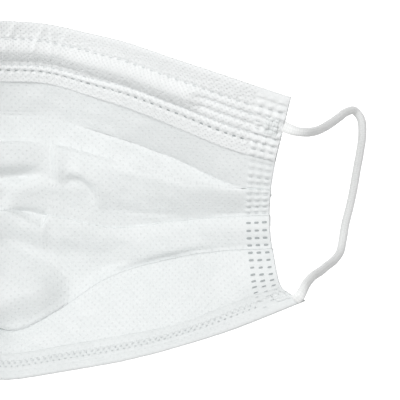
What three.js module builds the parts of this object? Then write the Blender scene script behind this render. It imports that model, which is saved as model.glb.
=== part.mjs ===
// A pleated face mask with ear loops, lying on its front with its inner side up.
// Millimetres. +X runs along the mask, +Y towards the nose edge, +Z up; z = 0 is the table.
//
// The mask is one three-ply sheet with three pleats. They are pressed flat at the two ends and
// open towards the middle, so the sheet is a shallow bowl whose ends rise like a canoe's.
// A border is folded over the inner side along both long edges. The upper one holds the nose wire.
import * as THREE from 'three';
import { mergeVertices } from 'three/addons/utils/BufferGeometryUtils.js';

// ---------------------------------------------------------------- driving dimensions
const HALF_LENGTH = 78; // middle of the mask to its end, measured flat on the table
const WALL = 1.1; // the three plies with the air between them
const HEM_WALL = 0.8; // the border that is folded over
const GAP = 0.3; // air between two pieces that touch
const CROSSINGS = 52; // steps along the mask
const LEAN = 0.15; // how far the widest opening sits left of the middle, as a share of the half length
const LEAN_REACH = 0.55; // how far along the mask that lean is felt

const WIRE_REACH = 0.66; // the wire ends at this share of the half length
const WIRE_WIDTH = 4;
const WIRE_THICKNESS = 0.8;
const WIRE_STEPS = 30;

const CORD_DIAMETER = 2.65;
const CORD_SIDES = 8;
const CORD_STEPS = 66;
const PAD_THICKNESS = 0.9; // the flattened, welded end of a cord

// ---------------------------------------------------------------- the sheet's lines
// Each line runs along the whole mask. y is its place across the mask and z its height above the
// table, at six stations from the middle (s0) to the end (s5); end is where it stops in x. A height
// below zero is cloth that its own weight presses flat on the table.
// A pleat has two creases: its valley, where the sheet turns up, and its fold, where it turns down.
const LINES = {
  noseEdge: {
    y: { s0: 58.7, s1: 57.6, s2: 52.3, s3: 44.0, s4: 37.2, s5: 31.0 },
    z: { s0: 18.0, s1: 21.0, s2: 31.0, s3: 43.0, s4: 50.0, s5: 53.0 },
    end: 81.3,
  },
  hemCut: {
    y: { s0: 39.5, s1: 38.5, s2: 32.0, s3: 23.5, s4: 16.0, s5: 11.5 },
    z: { s0: 9.0, s1: 11.0, s2: 20.0, s3: 31.0, s4: 39.0, s5: 43.0 },
    end: 77.0,
  },
  upperValley: {
    y: { s0: 29.5, s1: 28.2, s2: 21.8, s3: 14.0, s4: 5.7, s5: 0.5 },
    z: { s0: 5.0, s1: 6.6, s2: 13.5, s3: 23.5, s4: 33.0, s5: 38.5 },
    end: 75.9,
  },
  upperFold: {
    y: { s0: 19.2, s1: 18.3, s2: 13.1, s3: 6.5, s4: 3.9, s5: 3.0 },
    z: { s0: 5.2, s1: 6.7, s2: 13.6, s3: 24.4, s4: 35.4, s5: 39.9 },
    end: 75.9,
  },
  middleValley: {
    y: { s0: 8.5, s1: 4.5, s2: -3.5, s3: -4.3, s4: -8.5, s5: -12.0 },
    z: { s0: -0.6, s1: -0.2, s2: 4.0, s3: 14.0, s4: 27.0, s5: 36.2 },
    end: 75.6,
  },
  middleFold: {
    y: { s0: -3.3, s1: -5.4, s2: -9.4, s3: -7.1, s4: -5.6, s5: -4.6 },
    z: { s0: 3.6, s1: 4.2, s2: 7.0, s3: 16.2, s4: 28.8, s5: 37.8 },
    end: 75.6,
  },
  bellyTop: {
    y: { s0: -13.5, s1: -15.0, s2: -16.5, s3: -12.2, s4: -10.0, s5: -11.0 },
    z: { s0: -1.0, s1: -0.8, s2: 4.6, s3: 15.4, s4: 28.4, s5: 38.0 },
    end: 75.7,
  },
  bellyLow: {
    y: { s0: -32.0, s1: -29.0, s2: -22.0, s3: -16.6, s4: -13.8, s5: -13.2 },
    z: { s0: -1.0, s1: -0.9, s2: 4.0, s3: 14.0, s4: 26.4, s5: 37.6 },
    end: 76.0,
  },
  lowerValley: {
    y: { s0: -48.5, s1: -42.5, s2: -31.0, s3: -26.0, s4: -23.5, s5: -23.0 },
    z: { s0: 4.6, s1: 3.8, s2: 4.5, s3: 11.5, s4: 25.0, s5: 38.5 },
    end: 76.4,
  },
  lowerFold: {
    y: { s0: -44.9, s1: -38.2, s2: -25.2, s3: -19.0, s4: -16.2, s5: -14.9 },
    z: { s0: 5.6, s1: 4.6, s2: 6.2, s3: 14.5, s4: 27.5, s5: 39.0 },
    end: 76.4,
  },
  chinCut: {
    y: { s0: -51.0, s1: -49.2, s2: -46.0, s3: -41.3, s4: -33.5, s5: -27.3 },
    z: { s0: 12.5, s1: 13.5, s2: 18.0, s3: 27.0, s4: 38.5, s5: 48.5 },
    end: 78.5,
  },
  chinEdge: {
    y: { s0: -58.7, s1: -56.8, s2: -53.0, s3: -46.6, s4: -39.2, s5: -30.5 },
    z: { s0: 21.0, s1: 22.0, s2: 27.0, s3: 37.0, s4: 48.0, s5: 57.0 },
    end: 84.9,
  },
};
const STATIONS = ['s0', 's1', 's2', 's3', 's4', 's5'];

// A pleat has four points in a section: just above its upper crease, that crease, its lower crease and
// just below it. Where the pleat is open the valley is the upper crease, and where it is shut the fold.
const PLEATS = {
  upper: { valley: 'upperValley', fold: 'upperFold', before: 'hemCut', after: 'middleValley' },
  middle: { valley: 'middleValley', fold: 'middleFold', before: 'upperFold', after: 'bellyTop' },
  lower: { valley: 'lowerValley', fold: 'lowerFold', before: 'bellyLow', after: 'chinCut' },
};
const LAP = 1.6; // two more layers of cloth, where a pleat is shut
const FOOT = 0.35; // run of the step at a crease
const OPEN_AT = -3; // a pleat is open where its fold lies this far below its valley, and shut at SHUT_AT
const SHUT_AT = 1;

// The sheet's section, from the nose edge to the chin edge. A fill is a point between its neighbours,
// at a share of the way, with its bulge as a share of the distance between them.
const pleatRows = (pleat) => ['above', 'upper', 'lower', 'below'].map((part) => ({ pleat, part }));
const SECTION = [
  { line: 'noseEdge' },
  { fill: 0.27, bulge: 0.01 },
  { fill: 0.6, bulge: 0.015 },
  { fill: 0.85, bulge: 0.005 },
  { line: 'hemCut' },
  { fill: 0.55, bulge: 0.04 },
  ...pleatRows('upper'),
  { fill: 0.5, bulge: 0.05 },
  ...pleatRows('middle'),
  { line: 'bellyTop' },
  { fill: 0.5, bulge: 0 },
  { line: 'bellyLow' },
  { fill: 0.5, bulge: 0 },
  ...pleatRows('lower'),
  { fill: 0.5, bulge: 0.05 },
  { line: 'chinCut' },
  { fill: 0.5, bulge: 0.03 },
  { line: 'chinEdge' },
];
const placeOf = (line) => SECTION.findIndex((row) => row.line === line);

// ---------------------------------------------------------------- where a line is
// Catmull-Rom through the six stations; the row is mirrored at s0, where the line is level.
function atStation(row, t) {
  const last = STATIONS.length - 1;
  const value = (i) => row[STATIONS[Math.abs(i) > last ? last : Math.abs(i)]];
  const place = Math.min(Math.abs(t), 1) * last;
  const i = Math.min(Math.floor(place), last - 1);
  const f = place - i;
  const [a, b, c, d] = [value(i - 1), value(i), value(i + 1), value(i + 2)];
  const after = i + 2 > last ? 2 * c - b : d;
  return b + 0.5 * f * (c - a + f * (2 * a - 5 * b + 4 * c - after + f * (3 * (b - c) + after - a)));
}

// u runs from -1 at the left end to 1 at the right end. The pleats open widest a little to the left.
const leaned = (u) => u + LEAN * Math.exp(-((u / LEAN_REACH) ** 2)) * (1 - u * u) ** 2;

function linePoint(name, u) {
  const line = LINES[name];
  const x = u * (HALF_LENGTH + (line.end - HALF_LENGTH) * Math.abs(u) ** 3);
  return new THREE.Vector3(x, atStation(line.y, leaned(u)), atStation(line.z, u));
}

// ---------------------------------------------------------------- one section of the sheet
const heightAt = (y, a, b) => a.z + ((b.z - a.z) * (y - a.y)) / (b.y - a.y); // on the line through a and b

// A pleat's four points on one side of the sheet. The inner side steps up at the upper crease of a shut
// pleat, and the outer side at its lower one, where the layers under it end.
function pleatPoints(name, u, side) {
  const pleat = PLEATS[name];
  const [valley, fold, before, after] = ['valley', 'fold', 'before', 'after'].map((k) => linePoint(pleat[k], u));
  const shut = THREE.MathUtils.smoothstep(fold.y - valley.y, OPEN_AT, SHUT_AT);
  const high = Math.max(valley.y, fold.y);
  const low = Math.min(valley.y, fold.y, high - FOOT);
  const y = { above: high + FOOT, upper: high, lower: low, below: low - FOOT };
  const open = {
    above: heightAt(y.above, before, valley),
    upper: valley.z,
    lower: fold.z,
    below: heightAt(y.below, fold, after),
  };
  const layer = (at) => heightAt(at, fold, after);
  const closed = {
    above: layer(y.above) - LAP,
    upper: layer(y.upper) - (side === 'inner' ? 0 : LAP),
    lower: layer(y.lower) - (side === 'inner' ? 0 : LAP),
    below: layer(y.below),
  };
  const points = {};
  for (const part of Object.keys(y))
    points[part] = new THREE.Vector3(fold.x, y[part], THREE.MathUtils.lerp(open[part], closed[part], shut));
  return points;
}

function sectionPoints(u, side) {
  const points = SECTION.map((row) => {
    if (row.line) return linePoint(row.line, u);
    return row.pleat ? pleatPoints(row.pleat, u, side)[row.part] : null;
  });
  const known = points.slice();
  SECTION.forEach((row, k) => {
    if (!row.fill) return;
    const above = known.findLast((p, i) => p && i < k);
    const below = known.find((p, i) => p && i > k);
    points[k] = above.clone().lerp(below, row.fill);
    points[k].z += row.bulge * above.distanceTo(below);
  });
  return points;
}

const share = (i) => (2 * i) / CROSSINGS - 1;
const middle = { inner: [], outer: [] }; // the middle of the wall, under the inner and the outer side
for (const side of ['inner', 'outer'])
  for (let i = 0; i <= CROSSINGS; i++) middle[side].push(sectionPoints(share(i), side));

// Left of the middle the cloth below the middle pleat stands up in a rounded heap. It climbs between
// the first two numbers, is whole up to the third and is gone at the fourth.
const HEAP_HEIGHT = 7.4;
const HEAP_ALONG = [-46, -20, -4, 8];
const HEAP_ACROSS = [-50, -38, -26, -12];
const heaped = (at, [from, whole, until, gone]) =>
  THREE.MathUtils.smoothstep(at, from, whole) * (1 - THREE.MathUtils.smoothstep(at, until, gone));
for (const rows of Object.values(middle))
  for (const row of rows)
    for (const p of row.slice(placeOf('bellyTop'), placeOf('bellyLow') + 2))
      p.z += HEAP_HEIGHT * heaped(p.x, HEAP_ALONG) * heaped(p.y, HEAP_ACROSS);

// A wall that leans is thicker when it is measured straight up.
function leanFactor(rows, i, k) {
  const before = rows[Math.max(i - 1, 0)][k];
  const after = rows[Math.min(i + 1, rows.length - 1)][k];
  const above = rows[i][Math.max(k - 3, 0)];
  const below = rows[i][Math.min(k + 3, rows[i].length - 1)];
  const alongX = (after.z - before.z) / Math.max(after.x - before.x, 1);
  const alongY = (above.z - below.z) / Math.max(above.y - below.y, 1);
  return Math.min(Math.sqrt(1 + alongX ** 2 + alongY ** 2), 1.7);
}

const lift = (rows, height) =>
  rows.map((row, i) => row.map((p, k) => p.clone().setZ(p.z + height * leanFactor(middle.inner, i, k))));

const inner = lift(middle.inner, WALL / 2);
const outer = lift(middle.outer, -WALL / 2);
for (const row of outer) for (const p of row) p.z = Math.max(p.z, 0); // flat where it rests
inner.forEach((row, i) => row.forEach((p, k) => (p.z = Math.max(p.z, outer[i][k].z + WALL))));

// ---------------------------------------------------------------- a closed mesh between two skins
// Both skins are grids of the same size: rows along the mask, points across it.
function shell(upper, lower) {
  const rows = upper.length;
  const across = upper[0].length;
  const ring = 2 * across;
  const positions = [];
  for (let i = 0; i < rows; i++) for (const p of [...upper[i], ...[...lower[i]].reverse()]) positions.push(...p);
  const index = [];
  const quad = (a, b, c, d) => index.push(a, b, c, a, c, d);
  for (let i = 0; i < rows - 1; i++)
    for (let k = 0; k < ring; k++) {
      const next = (k + 1) % ring;
      quad(i * ring + k, i * ring + next, (i + 1) * ring + next, (i + 1) * ring + k);
    }
  const lastRow = (rows - 1) * ring;
  for (let k = 0; k < across - 1; k++) {
    const under = ring - 1 - k;
    quad(k, under, under - 1, k + 1);
    quad(lastRow + k, lastRow + k + 1, lastRow + under - 1, lastRow + under);
  }
  const geometry = new THREE.BufferGeometry();
  geometry.setAttribute('position', new THREE.Float32BufferAttribute(positions, 3));
  geometry.setIndex(index);
  geometry.computeVertexNormals();
  return geometry;
}

// ---------------------------------------------------------------- materials
const finish = (colour, roughness, metalness = 0) =>
  new THREE.MeshStandardMaterial({ color: colour, roughness, metalness });
const nonwoven = finish('#f0f2f1', 0.85);
const hemNonwoven = finish('#ecefee', 0.85);
const elastic = finish('#e8eae8', 0.9);
const coatedWire = finish('#d9dcdb', 0.5);

const mask = new THREE.Group();
function add(name, geometry, material) {
  const mesh = new THREE.Mesh(geometry, material);
  mesh.name = name;
  mask.add(mesh);
  return mesh;
}

add('mask_body', shell(inner, outer), nonwoven);

// ---------------------------------------------------------------- a place on a skin
// u runs along the mask and k across the skin, as a place in its rows, whole or in between.
function onSkin(rows, u, k, height = 0) {
  const place = Math.min(Math.max(((u + 1) * CROSSINGS) / 2, 0), CROSSINGS);
  const i = Math.min(Math.floor(place), CROSSINGS - 1);
  const j = Math.min(Math.floor(k), rows[0].length - 2);
  const near = rows[i][j].clone().lerp(rows[i][j + 1], k - j);
  const far = rows[i + 1][j].clone().lerp(rows[i + 1][j + 1], k - j);
  const point = near.lerp(far, place - i);
  point.z += height * leanFactor(rows, Math.round(place), Math.round(k));
  return point;
}

// ---------------------------------------------------------------- the folded borders
// k is a place in SECTION. puff is how far the border stands off the body there all along the mask,
// and channel how much further it does over the nose wire.
const NOSE_EDGE = placeOf('noseEdge');
const HEM_CUT = placeOf('hemCut');
const CHIN_CUT = placeOf('chinCut');
const CHIN_EDGE = placeOf('chinEdge');
const TOP_HEM = [
  { name: 'edge', k: NOSE_EDGE, puff: 0, channel: 0 },
  { name: 'firstWeld', k: 1, puff: 0, channel: 0 },
  { name: 'channelFoot', k: 1.15, puff: 0.2, channel: 0.7 },
  { name: 'channelTop', k: 1.75, puff: 0.3, channel: 0.9 },
  { name: 'channelEnd', k: 2.2, puff: 0.2, channel: 0.7 },
  { name: 'fourthWeld', k: 2.4, puff: 0, channel: 0 },
  { name: 'fifthWeld', k: 3, puff: 0, channel: 0 },
  { name: 'cut', k: HEM_CUT, puff: 0, channel: 0 },
];
const BOTTOM_HEM = [
  { name: 'cut', k: CHIN_CUT, puff: 0, channel: 0 },
  { name: 'upperDots', k: CHIN_CUT + 0.9, puff: 0, channel: 0 },
  { name: 'lowerDots', k: CHIN_CUT + 1.4, puff: 0.3, channel: 0 },
  { name: 'edge', k: CHIN_EDGE, puff: 0, channel: 0 },
];
const CHANNEL_FADE = 0.06; // the channel closes over this share of the half length past the wire

const overWire = (u) => 1 - THREE.MathUtils.smoothstep(Math.abs(u), WIRE_REACH, WIRE_REACH + CHANNEL_FADE);

function borderSkin(table, height) {
  const rows = [];
  for (let i = 0; i <= CROSSINGS; i++) {
    const stand = (row) => height + row.puff + row.channel * overWire(share(i));
    rows.push(table.map((row) => onSkin(inner, share(i), row.k, stand(row))));
  }
  return rows;
}
const hemSkins = {
  top: borderSkin(TOP_HEM, GAP + HEM_WALL),
  bottom: borderSkin(BOTTOM_HEM, GAP + HEM_WALL),
};
add('top_hem', shell(hemSkins.top, borderSkin(TOP_HEM, GAP)), hemNonwoven);
add('bottom_hem', shell(hemSkins.bottom, borderSkin(BOTTOM_HEM, GAP)), hemNonwoven);

// ---------------------------------------------------------------- nose wire, in the channel
const WIRE_PLACE = 1.68; // across the sheet's section, midway under the channel
const WIRE_LEAN = 0.4; // how far up the section the wire's slope is taken
function wire() {
  const upper = [];
  const lower = [];
  for (let i = 0; i <= WIRE_STEPS; i++) {
    const u = WIRE_REACH * ((2 * i) / WIRE_STEPS - 1);
    const middle = onSkin(inner, u, WIRE_PLACE);
    const across = onSkin(inner, u, WIRE_PLACE - WIRE_LEAN).sub(middle).setLength(WIRE_WIDTH / 2);
    const edges = [middle.clone().add(across), middle.clone().sub(across)];
    const raised = (height) => edges.map((p) => p.clone().setZ(p.z + height));
    upper.push(raised(GAP + WIRE_THICKNESS));
    lower.push(raised(GAP));
  }
  return shell(upper, lower);
}
add('nose_wire', wire(), coatedWire);

// ---------------------------------------------------------------- ear loops
// The cord leaves the upper pad, drops to the table, lies there and climbs to the lower corner.
const CORD_ROUTE = [
  [79.0, 22.6, 52.5],
  [82.2, 21.3, 52.6],
  [85.6, 20.9, 50.8],
  [88.9, 21.4, 45.4],
  [92.3, 22.8, 36.8],
  [96.0, 25.0, 26.2],
  [99.7, 27.5, 15.6],
  [103.2, 29.9, 7.0],
  [106.4, 30.6, 2.6],
  [108.7, 27.9, 1.5],
  [109.2, 22.9, 1.4],
  [108.5, 17.0, 1.4],
  [107.3, 10.5, 1.4],
  [106.1, 3.5, 1.4],
  [104.8, -2.5, 1.4],
  [103.4, -8.0, 1.4],
  [102.5, -13.0, 1.8],
  [101.3, -17.2, 5.4],
  [98.6, -20.0, 13.0],
  [94.9, -21.7, 23.5],
  [91.6, -22.9, 35.0],
  [88.4, -24.2, 46.0],
  [86.5, -25.9, 54.0],
  [85.1, -27.8, 59.2],
  [83.3, -29.2, 60.9],
];
function cord(side) {
  const points = CORD_ROUTE.map(([x, y, z]) => new THREE.Vector3(side * x, y, z));
  const route = new THREE.CatmullRomCurve3(points, false, 'centripetal');
  const section = new THREE.Shape();
  for (let i = 0; i < CORD_SIDES; i++) {
    const angle = ((2 * i + 1) * Math.PI) / CORD_SIDES;
    const [x, y] = [(Math.cos(angle) * CORD_DIAMETER) / 2, (Math.sin(angle) * CORD_DIAMETER) / 2];
    i ? section.lineTo(x, y) : section.moveTo(x, y);
  }
  return new THREE.ExtrudeGeometry(section, { extrudePath: route, steps: CORD_STEPS, curveSegments: 1 });
}

// ---------------------------------------------------------------- welded cord ends
// A pad lies on a border. from and to are along the mask, top and bottom places in the border's rows.
const PADS = {
  upper: { on: hemSkins.top, from: 0.935, to: 0.985, top: 1.8, bottom: 3.7 },
  lower: { on: hemSkins.bottom, from: 0.945, to: 0.99, top: 1.3, bottom: 2.75 },
};
const PAD_CELLS = 4;
function pad({ on, from, to, top, bottom }, side) {
  const skin = (height) => {
    const rows = [];
    for (let i = 0; i <= PAD_CELLS; i++) {
      const u = from + ((to - from) * i) / PAD_CELLS;
      const row = [];
      for (let j = 0; j <= PAD_CELLS; j++) {
        const rise = Math.sin((Math.PI * i) / PAD_CELLS) * Math.sin((Math.PI * j) / PAD_CELLS);
        const k = top + ((bottom - top) * j) / PAD_CELLS;
        row.push(onSkin(on, side * u, k, GAP + height * (0.55 + 0.45 * rise)));
      }
      rows.push(row);
    }
    return side > 0 ? rows : rows.reverse();
  };
  return shell(skin(PAD_THICKNESS), skin(0));
}

for (const [name, side] of [['left', -1], ['right', 1]]) {
  add('ear_loop_' + name, cord(side), elastic);
  add('upper_weld_' + name, pad(PADS.upper, side), elastic);
  add('lower_weld_' + name, pad(PADS.lower, side), elastic);
}

export default mask;
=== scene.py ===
# %% [markdown]
# # A pleated face mask with ear loops
# The mask lies on its front with its inner side up, as it does when it is put down. It is one
# three-ply sheet of nonwoven cloth with three pleats, which are pressed flat at both ends and can open
# in the middle, so the sheet is a shallow bowl. Here the upper pleat is open in the middle, the middle
# one is shut but for a small pocket, and the lower one is shut. A border is folded over each long edge,
# and the upper one holds the nose wire. Two round elastics are welded on as ear loops.
#
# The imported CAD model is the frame. Every piece here is made in the same place and the same metres.

import bpy
import numpy as np
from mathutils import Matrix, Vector


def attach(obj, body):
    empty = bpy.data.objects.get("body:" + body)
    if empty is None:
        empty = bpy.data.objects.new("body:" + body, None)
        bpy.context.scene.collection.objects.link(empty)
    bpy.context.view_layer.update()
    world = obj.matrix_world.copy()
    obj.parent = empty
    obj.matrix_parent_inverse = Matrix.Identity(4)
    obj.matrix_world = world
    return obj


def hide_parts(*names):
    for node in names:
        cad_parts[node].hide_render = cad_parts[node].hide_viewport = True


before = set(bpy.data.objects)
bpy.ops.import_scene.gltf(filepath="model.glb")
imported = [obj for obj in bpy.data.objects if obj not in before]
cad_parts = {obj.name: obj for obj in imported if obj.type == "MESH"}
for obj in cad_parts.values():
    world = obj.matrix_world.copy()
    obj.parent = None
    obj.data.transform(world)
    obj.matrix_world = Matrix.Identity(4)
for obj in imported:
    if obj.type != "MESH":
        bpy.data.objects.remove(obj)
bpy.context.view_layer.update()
MM = 0.001
print("frame:", sorted(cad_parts))

# %% [markdown]
# ## Camera
# The view is straight down, as over a light table. A long lens keeps the raised ends of the mask
# nearly as small as its middle. The left end lies outside the view.

# %% Camera
LOOK_FROM = Vector((53.4, 0.0, 480.0)) * MM
LENS = 125.3

camera_data = bpy.data.cameras.new("camera")
camera_data.lens = LENS
camera_data.sensor_width = 36.0
camera_data.clip_start = 0.01
camera = bpy.data.objects.new("camera", camera_data)
camera.location = LOOK_FROM
bpy.context.scene.collection.objects.link(camera)
bpy.context.scene.camera = camera
print("camera", round(LOOK_FROM.z, 3), "m above the table, lens", LENS, "mm")

# %% [markdown]
# ## Small helpers
# Every piece but the weld marks is a grid of points or a tube, and the same few functions make them
# all. The others add shader nodes with their settings and links, and turn sRGB hex colours into linear
# light, which is what the renderer adds up.


# %% Helpers for meshes
def mesh_piece(name, points, faces, uv=None, pressed=None):
    """A smooth mesh object at the origin.

    points are in millimetres, and pressed is 1 where a weld has ironed the cloth.
    """
    mesh = bpy.data.meshes.new(name)
    mesh.from_pydata((np.asarray(points, float) * MM).tolist(), [], faces)
    mesh.polygons.foreach_set("use_smooth", [True] * len(mesh.polygons))
    if uv is not None:
        layer = mesh.uv_layers.new(name="cloth")
        corner = np.empty(len(mesh.loops), int)
        mesh.loops.foreach_get("vertex_index", corner)
        layer.data.foreach_set("uv", np.asarray(uv, float)[corner].ravel())
    if pressed is not None:
        layer = mesh.attributes.new("pressed", "FLOAT", "POINT")
        layer.data.foreach_set("value", np.asarray(pressed, float).ravel())
    mesh.update()
    piece = bpy.data.objects.new(name, mesh)
    bpy.context.scene.collection.objects.link(piece)
    return piece


def grid_faces(rows, columns, closed=False):
    """Quads of a grid whose points are numbered row by row, facing up when rows run towards -Y."""
    last = columns if closed else columns - 1
    return [
        (a + c, b + c, b + (c + 1) % columns, a + (c + 1) % columns)
        for a, b in ((r * columns, (r + 1) * columns) for r in range(rows - 1))
        for c in range(last)
    ]


def cloth_uv(grid, folds=()):
    """Distance along and across the cloth, in metres, from the middle of its upper edge.

    Each row in folds starts a panel, whose distances are counted anew, so its pattern isn't sheared.
    """
    steps = steps_of(grid, 1).mean(axis=0)
    along = np.concatenate([[0], np.cumsum(steps)])
    along = np.broadcast_to(along - along[grid.shape[1] // 2], grid.shape[:2])
    across = np.zeros(grid.shape[:2])
    across[1:] = np.cumsum(steps_of(grid), axis=0)
    for row in folds:
        across[row:] -= across[row] + grid[row, :, 1]
    return np.stack([along, across], axis=2).reshape(-1, 2) * MM


def steps_of(grid, axis=0):
    """The distances between neighbouring points."""
    return np.linalg.norm(np.diff(grid, axis=axis), axis=-1)


def index_at(value, known):
    """Where a value lies among rising ones, as a place between their numbers."""
    return np.interp(value, known, np.arange(len(known)))


def with_wall(piece, thickness):
    """Gives a skin its thickness, on the side away from its normals."""
    wall = piece.modifiers.new("wall", "SOLIDIFY")
    wall.thickness = thickness * MM
    wall.offset = -1
    return piece


def cloth_piece(name, grid, thickness, folds=(), pressed=None):
    """A sheet of cloth from a grid of points, with its measured coordinates."""
    faces = grid_faces(*grid.shape[:2])
    return with_wall(mesh_piece(name, grid.reshape(-1, 3), faces, cloth_uv(grid, folds), pressed), thickness)


print("a grid of 3 by 4 points has", len(grid_faces(3, 4)), "quads")

# %% Helpers for colour and nodes
def linear(hex_colour):
    """sRGB hex to linear RGBA."""
    parts = [int(hex_colour[i : i + 2], 16) / 255 for i in (1, 3, 5)]
    return tuple(p / 12.92 if p <= 0.04045 else ((p + 0.055) / 1.055) ** 2.4 for p in parts) + (1.0,)


def add_node(tree, kind, links=None, values=None, **settings):
    """One node, with its settings, its input values and the sockets that feed it."""
    node = tree.nodes.new(kind)
    for key, value in settings.items():
        setattr(node, key, value)
    for key, value in (values or {}).items():
        node.inputs[key].default_value = value
    for key, source in (links or {}).items():
        tree.links.new(source, node.inputs[key])
    return node


def feed(tree, socket, source):
    """Gives a socket another node's output, a number or a hex colour."""
    if isinstance(source, bpy.types.NodeSocket):
        tree.links.new(source, socket)
    else:
        socket.default_value = linear(source) if isinstance(source, str) else source


def calc(tree, operation, *terms):
    node = add_node(tree, "ShaderNodeMath", operation=operation)
    for socket, term in zip(node.inputs, terms):
        feed(tree, socket, term)
    return node.outputs[0]


def blend(tree, factor, first, second):
    """The first colour where factor is 0 and the second where it is 1."""
    node = add_node(tree, "ShaderNodeMix", data_type="RGBA")
    for index, term in ((0, factor), (6, first), (7, second)):
        feed(tree, node.inputs[index], term)
    return node.outputs[2]


def noise(tree, size, **values):
    """Noise whose grain has a real size in millimetres."""
    place = add_node(tree, "ShaderNodeTexCoord")
    values["Scale"] = 1 / (size * MM)
    return add_node(tree, "ShaderNodeTexNoise", {"Vector": place.outputs["Object"]}, values).outputs["Fac"]


def bumped(tree, shader, height):
    """Height is in millimetres."""
    bump = add_node(tree, "ShaderNodeBump", {"Height": height}, {"Distance": MM, "Strength": 1.0})
    tree.links.new(bump.outputs["Normal"], shader.inputs["Normal"])


def new_material(name, colour, roughness, **inputs):
    """A plain material to add nodes to. An input's name has _ for each space."""
    material = bpy.data.materials.new(name)
    material.use_nodes = True
    tree = material.node_tree
    tree.nodes.clear()
    shader = add_node(tree, "ShaderNodeBsdfPrincipled")
    shader.inputs["Base Color"].default_value = linear(colour)
    shader.inputs["Roughness"].default_value = roughness
    for key, value in inputs.items():
        shader.inputs[key.replace("_", " ")].default_value = value
    add_node(tree, "ShaderNodeOutputMaterial", {"Surface": shader.outputs["BSDF"]})
    return material, tree, shader


def wobble(x, y, scale, seed, waves=9):
    """Smooth, repeatable unevenness between about -1 and 1, whose humps are about scale across."""
    draw = np.random.RandomState(seed)
    total = np.zeros(np.broadcast(x, y).shape)
    for _ in range(waves):
        angle, phase, stretch = draw.uniform(0, 2 * np.pi), draw.uniform(0, 2 * np.pi), draw.uniform(0.7, 1.5)
        step = 2 * np.pi / (2 * scale * stretch)
        total += np.sin(step * (x * np.cos(angle) + y * np.sin(angle)) + phase)
    return total / np.sqrt(waves * 2)


def smoothstep(x, low, high):
    t = np.clip((x - low) / (high - low), 0, 1)
    return t * t * (3 - 2 * t)


print("mid grey #808080 is", round(linear("#808080")[0], 3), "in linear light")

# %% [markdown]
# ## Ear loops
# Each loop is a soft round knitted elastic of 2.65 mm, a little wider than it is thick. Its ends are
# flattened and welded to the upper and lower corner of the mask. It bends down from the raised corner
# under its own weight, lies on the table and climbs back. The route is drawn first and everything else
# is fitted round it. A tube of rings along a smooth curve suits it, because its ends can be pressed
# flat.

# %% The cord's route
CORD_DIAMETER = 2.65
CORD_ROUTE = [
    (79.0, 22.6, 52.5), (82.2, 21.3, 52.6), (85.6, 20.9, 50.8), (88.9, 21.4, 45.4), (92.3, 22.8, 36.8),
    (96.0, 25.0, 26.2), (99.7, 27.5, 15.6), (103.2, 29.9, 7.0), (106.4, 30.6, 2.6), (108.7, 27.9, 1.5),
    (109.2, 22.9, 1.4), (108.5, 17.0, 1.4), (107.3, 10.5, 1.4), (106.1, 3.5, 1.4), (104.8, -2.5, 1.4),
    (103.4, -8.0, 1.4), (102.5, -13.0, 1.8), (101.3, -17.2, 5.4), (98.6, -20.0, 13.0), (94.9, -21.7, 23.5),
    (92.0, -22.7, 35.0), (88.3, -24.0, 46.0), (86.0, -25.7, 53.0), (84.8, -27.1, 57.4),
    (83.7, -28.7, 59.4), (82.2, -30.2, 58.7),
]  # fmt: skip
CORD_STEP = 0.45  # between two rings
CORD_SIDES = 20


def smooth_route(points, step):
    """A centripetal Catmull-Rom curve through the points, with even steps."""
    p = np.asarray(points, float)
    p = np.vstack([2 * p[0] - p[1], p, 2 * p[-1] - p[-2]])
    knots = np.concatenate([[0], np.cumsum(steps_of(p) ** 0.5)])
    dense = []
    for i in range(1, len(p) - 2):
        t = np.linspace(knots[i], knots[i + 1], 40, endpoint=i == len(p) - 3)[:, None]
        k0, k1, k2, k3 = knots[i - 1 : i + 3]
        a1 = (k1 - t) / (k1 - k0) * p[i - 1] + (t - k0) / (k1 - k0) * p[i]
        a2 = (k2 - t) / (k2 - k1) * p[i] + (t - k1) / (k2 - k1) * p[i + 1]
        a3 = (k3 - t) / (k3 - k2) * p[i + 1] + (t - k2) / (k3 - k2) * p[i + 2]
        b1 = (k2 - t) / (k2 - k0) * a1 + (t - k0) / (k2 - k0) * a2
        b2 = (k3 - t) / (k3 - k1) * a2 + (t - k1) / (k3 - k1) * a3
        dense.append((k2 - t) / (k2 - k1) * b1 + (t - k1) / (k2 - k1) * b2)
    dense = np.vstack(dense)
    reach = np.concatenate([[0], np.cumsum(steps_of(dense))])
    even = np.linspace(0, reach[-1], int(round(reach[-1] / step)) + 1)
    return np.stack([np.interp(even, reach, dense[:, i]) for i in range(3)], axis=1), reach[-1]


print("the cord passes", len(CORD_ROUTE), "places")

# %% The two loops
FLAT_END = 6.0  # over this length a cord flattens towards its weld
SOFT = 1.09  # a soft cord is a little wider than it is thick
CORD_ROUND = 8.3  # its circumference


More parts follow.
